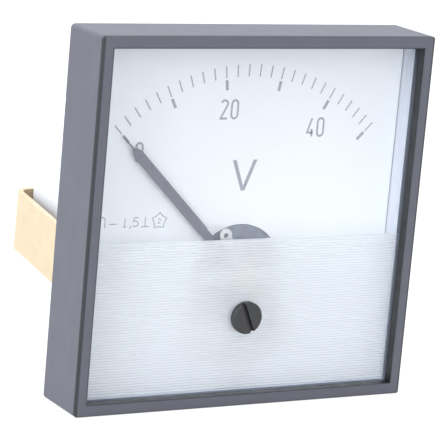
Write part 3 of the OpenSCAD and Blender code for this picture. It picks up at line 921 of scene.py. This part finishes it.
@dataclass
class Dial:
    """Dial plate with its printed scale, figures, unit and symbols.

    Attributes:
        centre: X and Z of the scale's centre, which the print sets a little off the pivot.
        first_angle: Angle of the scale's zero, in degrees from +X.
        sweep: Angle from zero to full scale, if all divisions were as wide as the first.
        crowding: Angle by which the last divisions close up.
        marks: How many figured steps the scale has.
        divisions: Divisions in each step.
        outer_r: Outer radius of every line.
        middle_r: Radius where the thin line ends.
        inner_r: Radius where the thick line ends.
        gap: Gap between a thin line and its thick end.
        thin: Width of a thin line.
        thick: Width of a thick line.
        ink: Thickness of the print.
        figure_h: Height of the figures.
        figure_w: Width of one figure.
        figure_step: Distance from a figure to the next.
        figure_line: Width of the figures' strokes.
        figure_places: The figures with X and Z of their centres.
        face_y: Y of the plate's face.
    """

    centre: tuple[float, float] = (-0.65 * MM, -10.94 * MM)
    first_angle: float = 134.2
    sweep: float = 90.75
    crowding: float = 2.0
    marks: int = 5
    divisions: int = 5
    outer_r: float = 40.4 * MM
    middle_r: float = 38.08 * MM
    inner_r: float = 35.75 * MM
    gap: float = 0.38 * MM
    thin: float = 0.26 * MM
    thick: float = 0.6 * MM
    ink: float = 0.012 * MM
    figure_h: float = 3.9 * MM
    figure_w: float = 1.75 * MM
    figure_step: float = 2.25 * MM
    figure_line: float = 0.4 * MM
    figure_places: tuple[tuple[str, float, float], ...] = (
        ("0", -23.3 * MM, 12.9 * MM),
        ("20", -4.7 * MM, 20.8 * MM),
        ("40", 14.7 * MM, 17.1 * MM),
    )
    face_y: float = field(init=False)

    def __post_init__(self) -> None:
        """Takes the dial's face from the CAD plate."""
        self.face_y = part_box("dial_plate")[0].y

    @property
    def depths(self) -> tuple[float, float]:
        """Y of the print's front and back, the back just inside the plate's face."""
        return self.face_y - self.ink, self.face_y + self.ink / 2

    def radial_bars(
        self, angles: np.ndarray, inner: float, outer: float, width: float
    ) -> tuple[np.ndarray, list]:
        """Flat bars on rays from the pivot, all at once.

        Each bar has eight corners: the ray times the radius, plus or minus half the width
        along the ray's normal, at both depths.

        Args:
            angles: The rays' angles in degrees.
            inner: Radius where the bars start.
            outer: Radius where they end.
            width: Their width.

        Returns:
            The points and the faces.
        """
        t = np.radians(angles)
        ray = np.stack([np.cos(t), np.sin(t)], 1)[:, None, :]
        across = np.stack([-np.sin(t), np.cos(t)], 1)[:, None, :] * (width / 2)
        radius = np.array([inner, outer, outer, inner])[None, :, None]
        side = np.array([-1, -1, 1, 1])[None, :, None]
        flat = ray * radius + across * side
        flat = np.concatenate([flat, flat], 1)
        depth = np.broadcast_to(np.repeat(self.depths, 4)[None, :], flat.shape[:2])
        points = np.stack([flat[..., 0] + self.centre[0], depth, flat[..., 1] + self.centre[1]], 2)
        own = np.array(
            [[0, 1, 2, 3], [7, 6, 5, 4], [0, 4, 5, 1], [1, 5, 6, 2], [2, 6, 7, 3], [3, 7, 4, 0]]
        )
        faces = own[None] + 8 * np.arange(len(t))[:, None, None]
        return points.reshape(-1, 3), faces.reshape(-1, 4).tolist()

    def scale(self) -> None:
        """Builds the thin lines of every division and the thick ends of the figured ones.

        A line's angle is the first less the sweep times its share of the scale, plus the
        crowding times the eighth power of that share.
        """
        count = self.marks * self.divisions
        share = np.arange(count + 1) / count
        all_angles = self.first_angle - self.sweep * share + self.crowding * share**8
        main = all_angles[:: self.divisions]
        thin = self.radial_bars(all_angles, self.middle_r, self.outer_r, self.thin)
        piece("scale_divisions", *thin, INK)
        thick = self.radial_bars(main, self.inner_r, self.middle_r - self.gap, self.thick)
        piece("scale_main_marks", *thick, INK)

    def figure(
        self, mark: str, left: float, low: float, height: float, width: float, line: float
    ) -> list:
        """The strokes of one figure.

        Args:
            mark: "0", "1", "2", "4" or "5".
            left: X of its left edge.
            low: Z of its lower edge.
            height: Its height.
            width: Its width.
            line: Width of its strokes.

        Returns:
            Points and faces of each stroke.
        """
        w, h, r = width - line, height - line, (width - line) / 2
        corner = np.array([left + line / 2, low + line / 2])
        top_arc = arc((r, h - 1.15 * r), r, 1.15 * r, 0, 180)
        foot_arc = arc((r, 1.15 * r), r, 1.15 * r, 180, 360)
        hook = arc((r, h - r), r, r, 165, -28)
        belly = arc((0.42 * w, 0.32 * h), 0.58 * w, 0.32 * h, 110, -140)
        strokes: dict[str, list[tuple[np.ndarray, bool]]] = {
            "0": [(np.vstack([top_arc, foot_arc]), True)],
            "1": [(np.array([(r, h), (r, 0)]), False), (np.array([(-0.1 * w, 0), (1.1 * w, 0)]), False)],
            "2": [(np.vstack([hook, [(0.0, 0.02 * h), (0.0, 0.0), (w, 0.0)]]), False)],
            "4": [
                (np.array([(0.68 * w, h), (0.0, 0.2 * h), (w, 0.2 * h)]), False),
                (np.array([(0.76 * w, 0.4 * h), (0.76 * w, -0.02 * h)]), False),
            ],
            "5": [(np.vstack([[(w, h), (0.08 * w, h), (0.0, 0.56 * h)], belly]), False)],
        }
        return [band(path + corner, line, *self.depths, closed) for path, closed in strokes[mark]]

    def figures(self) -> None:
        """Builds the scale's figures."""
        parts: list = []
        for marks, centre_x, centre_z in self.figure_places:
            start = centre_x - (self.figure_w + self.figure_step * (len(marks) - 1)) / 2
            low = centre_z - self.figure_h / 2
            for place, mark in enumerate(marks):
                left = start + place * self.figure_step
                parts += self.figure(mark, left, low, self.figure_h, self.figure_w, self.figure_line)
        piece("scale_figures", *joined(parts), INK)

    def unit(self) -> None:
        """Builds the unit letter, two legs that meet in a flat foot."""
        half, height, leg = 2.7 * MM, 6.0 * MM, 0.82 * MM
        x, z = -0.3 * MM, 7.95 * MM - height / 2
        inner = height * leg / half
        outline = np.array(
            [
                (-leg / 2, 0),
                (leg / 2, 0),
                (half, height),
                (half - leg, height),
                (0, inner * 0.5),
                (leg - half, height),
                (-half, height),
            ]
        )
        piece("unit_letter", *prism(outline + (x, z), *self.depths), INK)

    def symbols(self) -> None:
        """Builds the small symbols: moving coil, direct current, class, upright use, test voltage."""
        line = 0.17 * MM
        base, tall, middle = -1.45 * MM, 1.85 * MM, -0.77 * MM
        foot = np.array([-20.8 * MM, base])
        leg = 0.9 * MM
        coil = np.vstack([[(-leg, 0)], arc((0, 1.5 * MM), leg, 0.6 * MM, 180, 0), [(leg, 0)]])
        dash = np.array([(-28.3 * MM, middle), (-26.8 * MM, middle)])
        comma = np.array([(-23.75 * MM, base + 0.3 * MM), (-23.95 * MM, base - 0.3 * MM)])
        angles = np.radians(90 + 36 * np.arange(10))
        radius = np.where(np.arange(10) % 2, 1.14, 1.6) * MM
        star = np.stack([radius * np.cos(angles), radius * np.sin(angles)], 1)
        parts = [
            band(coil + (-30.18 * MM, base), line, *self.depths),
            band(dash, line, *self.depths),
            band(comma, line, *self.depths),
            band(foot + [(-0.86 * MM, 0), (0.86 * MM, 0)], line, *self.depths),
            band(foot + [(0, 0), (0, tall)], line, *self.depths),
            band(star + (-17.8 * MM, -0.4 * MM), line, *self.depths, True),
        ]
        parts += self.figure("1", -25.5 * MM, base, tall, 0.8 * MM, line)
        parts += self.figure("5", -23.35 * MM, base, tall, 1.15 * MM, line)
        parts += self.figure("2", -18.12 * MM, -0.95 * MM, 1.0 * MM, 0.6 * MM, 0.13 * MM)
        piece("dial_symbols", *joined(parts), INK)

    def build(self) -> None:
        """Prints the dial and dresses its nodes."""
        dress("dial_plate", "dial_screws")
        self.scale()
        self.figures()
        self.unit()
        self.symbols()


@dataclass
class Movement:
    """Ring, core, cast frame, bridges, moving coil with its needle, springs and zero adjuster.

    Attributes:
        pivot: X and Z of the moving coil's pivot line.
        rest_angle: Angle of the needle at rest, in degrees from +X.
        blade_start: Distance from the pivot at which the needle's formed blade starts.
        blade_end: Distance at which it ends.
        blade_half: Half its width.
        blade_rise: Height of its ridge over its edges.
        blade_tip: Length of its rounded tip.
        blade_edge: Height of its edges over the needle's sheet.
        blade_back: Depth of its back behind the sheet's front.
        hub_rise: How far the hub stands in front of the sheet.
        fixed: Names of the nodes that stand still.
        turning: Names of the nodes that turn.
    """

    pivot: tuple[float, float] = (0.0, -11.3 * MM)
    rest_angle: float = 135.0
    blade_start: float = 12.4 * MM
    blade_end: float = 35.6 * MM
    blade_half: float = 1.0 * MM
    blade_rise: float = 0.2 * MM
    blade_tip: float = 2.6 * MM
    blade_edge: float = 0.02 * MM
    blade_back: float = 0.05 * MM
    hub_rise: float = 0.15 * MM

    fixed: tuple[str, ...] = (
        "core_magnet",
        "yoke_ring",
        "pointer_stops",
        "movement_frame",
        "frame_screws",
        "front_bridge",
        "bridge_screws",
        "front_jewel_screw",
        "rear_bridge",
        "rear_bridge_screws",
        "rear_jewel_screw",
        "jewel_lock_nut",
        "rear_abutment",
        "hairspring_rear",
    )
    turning: tuple[str, ...] = (
        "pointer",
        "balance_weights",
        "pivots",
        "spring_collets",
        "coil_former",
        "coil_winding",
        "zero_screw",
        "zero_lever",
        "hairspring_front",
    )

    def blade(self) -> None:
        """Builds the needle's formed blade, a shallow roof that ends in a rounded tip.

        Its section is carried along the needle. At a distance s from the pivot its half width
        is the full one times the root of 1 - ((s - s0) / tip)^2 past s0, where the tip starts,
        and at a share v of the half width it rises by the ridge's height times 1 - |v|. The
        faces' normals point inwards.
        """
        tip = self.blade_tip
        turn = np.linspace(0, 0.49, 14) * math.pi
        s = np.append(self.blade_start, self.blade_end - tip * (1 - np.sin(turn)))
        past = np.clip((s - (self.blade_end - tip)) / tip, 0, 1)
        half = self.blade_half * np.sqrt(1 - past**2)
        share = np.array([-1, -0.5, -0.08, 0.08, 0.5, 1, 1, -1])
        lift = self.blade_edge + self.blade_rise * (1 - np.abs(share))
        lift[-2:] = -self.blade_back
        t = math.radians(self.rest_angle)
        ray, across = np.array([math.cos(t), math.sin(t)]), np.array([-math.sin(t), math.cos(t)])
        flat = s[:, None, None] * ray + (half[:, None] * share)[..., None] * across + np.array(self.pivot)
        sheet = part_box("pointer")[0].y + self.hub_rise
        depth = np.broadcast_to(sheet - lift, flat.shape[:2])
        points = np.stack([flat[..., 0], depth, flat[..., 1]], 2).reshape(-1, 3)
        rows, columns = len(s), len(share)
        caps = [list(range(columns))[::-1], list(range((rows - 1) * columns, rows * columns))]
        faces = grid_faces(rows, columns).tolist() + caps
        piece("pointer_blade", points, faces, FINISHES["pointer_lacquer"], "moving_coil")

    def build(self) -> None:
        """Dresses the movement's nodes and builds the needle's blade."""
        dress(*self.fixed, *self.turning)
        self.blade()


@dataclass
class RearFixings:
    """Threaded studs, nuts, washers, strap and wiring behind the panel.

    Attributes:
        pitch: Pitch of the studs' thread.
        depth: Depth of the thread.
        flange: Thickness of the flange inside the case's back.
        flange_wide: How far the flange stands out from the stud.
        foot: Length of the stud in front of the flange.
        chamfer: Bevel at the stud's end.
        slot: Half the width of the slot in the end.
        slot_depth: Depth of that slot.
        nodes: Names of the nodes that keep their shape.
    """

    pitch: float = 0.7 * MM
    depth: float = 0.38 * MM
    flange: float = 2.0 * MM
    flange_wide: float = 2.0 * MM
    foot: float = 1.6 * MM
    chamfer: float = 0.5 * MM
    slot: float = 0.5 * MM
    slot_depth: float = 1.0 * MM

    nodes: tuple[str, ...] = (
        "series_resistor",
        "hookup_wires",
        "solder_tags",
        "terminal_nuts",
        "terminal_washers",
        "strap_nut",
        "strap_washer",
        "mounting_strap",
    )

    def threaded(self, x: float, z: float, radius: float, front: float, end: float) -> list:
        """One threaded stud with a flange, a bevelled end and a screwdriver slot.

        The shank's radius at a height y and an angle t is the outer one less the thread's
        depth times a triangle wave of (y - pitch t / turn) / pitch, which fades out over the
        last pitch at both ends. The slotted end is two half rounds, each an arc closed by a
        straight wall, lofted over three rings.

        Args:
            x: X of its axis.
            z: Z of its axis.
            radius: Its outer radius.
            front: Y of its front end.
            end: Y of its slotted end.

        Returns:
            Points and faces of each closed part.
        """
        t = np.linspace(0, TAU, 40, endpoint=False)
        behind = front + self.foot + self.flange
        foot = end - self.slot_depth
        y = np.linspace(behind, foot, int((foot - behind) / self.pitch * 8))
        turns = (y[:, None] - self.pitch * t / TAU) / self.pitch
        fade = np.clip(np.minimum(y - behind, foot - y) / self.pitch + 0.15, 0, 1)[:, None]
        shank = radius - self.depth * np.abs(turns % 1 - 0.5) * 2 * fade
        collar = radius + self.flange_wide
        step = front + self.foot
        ends = [(0.0, front), (radius, front), (radius, step), (collar, step), (collar, behind)]
        rings = np.vstack([np.full((1, len(t)), r) for r, _ in ends] + [shank, np.zeros((1, len(t)))])
        heights = np.concatenate([[h for _, h in ends], y, [foot]])
        depth = np.repeat(heights[:, None], len(t), 1)
        body = np.stack([x + rings * np.cos(t), depth, z + rings * np.sin(t)], 2).reshape(-1, 3)
        parts = [(body, grid_faces(len(rings), len(t))[:, ::-1].tolist())]
        root = radius - self.depth / 2
        loft = ((root, foot - 0.1 * MM), (root, end - self.chamfer), (root - self.chamfer, end))
        for side in (-1, 1):
            steps = []
            for r, height in loft:
                start = math.degrees(math.asin(self.slot / r))
                half = arc((0, 0), r, r, start, 180 - start, 20) * side
                depth = np.full(len(half), height)
                steps.append(np.stack([x + half[:, 0], depth, z + half[:, 1]], 1))
            n = len(steps[0])
            caps = [list(range(n)), list(range(3 * n - 1, 2 * n - 1, -1))]
            parts.append((np.vstack(steps), grid_faces(3, n)[:, ::-1].tolist() + caps))
        return parts

    def studs(self) -> None:
        """Builds the terminal studs and the strap's stud in place of their plain solids."""
        wanted = (("terminal_threads", "terminal_studs", 2), ("strap_thread", "strap_stud", 1))
        for name, node, count in wanted:
            low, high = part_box(node)
            collar = (high.z - low.z) / 2
            radius, up = collar - self.flange_wide, (low.z + high.z) / 2
            places = [high.x - collar] if count == 1 else [low.x + collar, high.x - collar]
            parts = [part for x in places for part in self.threaded(x, up, radius, low.y, high.y)]
            made = piece(name, *joined(parts), FINISHES["stud_brass"])
            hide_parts(node)

    def build(self) -> None:
        """Dresses the rear's nodes and builds the studs."""
        dress(*self.nodes)
        self.studs()


@dataclass
class Studio:
    """Pale floor, white surroundings, soft lamps and the camera.

    Attributes:
        eye: Where the camera stands.
        aim: Its line of sight.
        up: Its upward direction.
        lens: Focal length in millimetres on a 36 mm sensor.
    """

    eye: Vector = field(default_factory=lambda: Vector((-0.2471, -0.4229, 0.1065)))
    aim: Vector = field(default_factory=lambda: Vector((0.49196, 0.84291, -0.21792)))
    up: Vector = field(default_factory=lambda: Vector((0.0326, 0.2323, 0.9721)))
    lens: float = 209.76

    def camera(self) -> None:
        """Places the camera."""
        data = bpy.data.cameras.new("camera")
        data.sensor_width = 36.0
        data.lens = self.lens
        data.clip_start, data.clip_end = 0.01, 20.0
        made = bpy.data.objects.new("camera", data)
        right = self.aim.cross(self.up).normalized()
        top = right.cross(self.aim).normalized()
        turn = Matrix((right, top, -self.aim.normalized())).transposed().to_4x4()
        made.matrix_world = Matrix.Translation(self.eye) @ turn
        bpy.context.scene.collection.objects.link(made)
        bpy.context.scene.camera = made

    def floor(self) -> None:
        """Builds the floor under the object's lowest point, with a backdrop curving up behind.

        Its section is a straight run, a quarter circle and a straight rise, carried along X.
        """
        low, far, radius = CAD_BOX[0].z, 1.2, 0.5
        t = np.radians(np.linspace(-90, 0, 25))
        y = np.concatenate([[-1.6], far + radius * np.cos(t), [far + radius]])
        z = np.concatenate([[0], radius + radius * np.sin(t), [2.2]]) + low
        x = np.linspace(-2.4, 2.4, 9)
        across, along = np.meshgrid(x, y, indexing="ij")
        points = np.stack([across, along, np.broadcast_to(z, across.shape)], 2).reshape(-1, 3)
        mesh = bpy.data.meshes.new("floor")
        mesh.from_pydata(points.tolist(), [], grid_faces(len(x), len(y), False).tolist())
        mesh.polygons.foreach_set("use_smooth", [True] * len(mesh.polygons))
        material = bpy.data.materials.new("floor_white")
        material.use_nodes = True
        shader = Shader(material.node_tree)
        cloud = shader.noise(0.2, detail=2.0)
        pale = shader.blend(cloud, shown(222, 222, 222), shown(226, 226, 226))
        paper = shader.node("ShaderNodeBsdfDiffuse", {}, {"Color": pale})
        thin = shader.node("ShaderNodeBsdfDiffuse", {}, {"Color": shown(120, 120, 120)})
        glow = shader.node("ShaderNodeEmission", {}, {"Color": (1, 1, 1, 1), "Strength": 0.86})
        seen = shader.node("ShaderNodeAddShader", {}, {0: thin, 1: glow})
        eye = shader.node("ShaderNodeLightPath", output="Is Camera Ray")
        glossy = shader.node("ShaderNodeLightPath", output="Is Glossy Ray")
        through = shader.node("ShaderNodeLightPath", output="Is Transmission Ray")
        share = (eye + glossy + through).clamped()
        mixed = shader.node("ShaderNodeMixShader", {}, {0: share, 1: paper, 2: seen})
        shader.node("ShaderNodeOutputMaterial", {}, {"Surface": mixed})
        mesh.materials.append(material)
        made = bpy.data.objects.new("floor", mesh)
        bpy.context.scene.collection.objects.link(made)

    def world(self) -> None:
        """Lights the object evenly, and shows white to the camera, to gloss and through glass."""
        world = bpy.data.worlds.new("surroundings")
        bpy.context.scene.world = world
        world.use_nodes = True
        shader = Shader(world.node_tree)
        eye = shader.node("ShaderNodeLightPath", output="Is Camera Ray")
        glossy = shader.node("ShaderNodeLightPath", output="Is Glossy Ray")
        through = shader.node("ShaderNodeLightPath", output="Is Transmission Ray")
        share = (eye + glossy + through).clamped()
        dim = shader.node("ShaderNodeBackground", {}, {"Color": shown(252, 253, 255), "Strength": 0.55})
        white = shader.node("ShaderNodeBackground", {}, {"Color": (1, 1, 1, 1), "Strength": 1.0})
        mixed = shader.node("ShaderNodeMixShader", {}, {0: share, 1: dim, 2: white})
        shader.node("ShaderNodeOutputWorld", {}, {"Surface": mixed})

    def lamp(self, name: str, at: Sequence[float], size: float, power: float) -> None:
        """Hangs one square soft lamp that faces the object.

        Args:
            name: Its name.
            at: Where it hangs, in metres.
            size: Its side in metres.
            power: Its power in watts.
        """
        data = bpy.data.lights.new(name, "AREA")
        data.size, data.energy = size, power
        made = bpy.data.objects.new(name, data)
        made.location = at
        made.rotation_euler = (-Vector(at)).to_track_quat("-Z", "Y").to_euler()
        bpy.context.scene.collection.objects.link(made)

    def build(self) -> None:
        """Sets the whole scene round the object."""
        self.camera()
        self.floor()
        self.world()
        self.lamp("key_left", (-0.88, -0.16, 0.35), 0.6, 6.4)
        self.lamp("top", (-0.05, 0.1, 0.95), 0.8, 15.0)
        self.lamp("fill_front", (-0.15, -0.95, 0.3), 0.7, 1.95)
        bpy.context.scene.view_settings.view_transform = "Standard"


def write_sizes() -> None:
    """Brings the view layer up to date.
    """
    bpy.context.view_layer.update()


def main() -> None:
    """Builds every sub-assembly in order and reports each piece."""
    logging.basicConfig(level=logging.INFO, format="%(name)s: %(message)s")
    builders: list[Callable[[], None]] = [
        Studio().build,
        Housing().build,
        Dial().build,
        Movement().build,
        RearFixings().build,
    ]
    for build in builders:
        build()
    write_sizes()


if __name__ == "__main__":
    main()
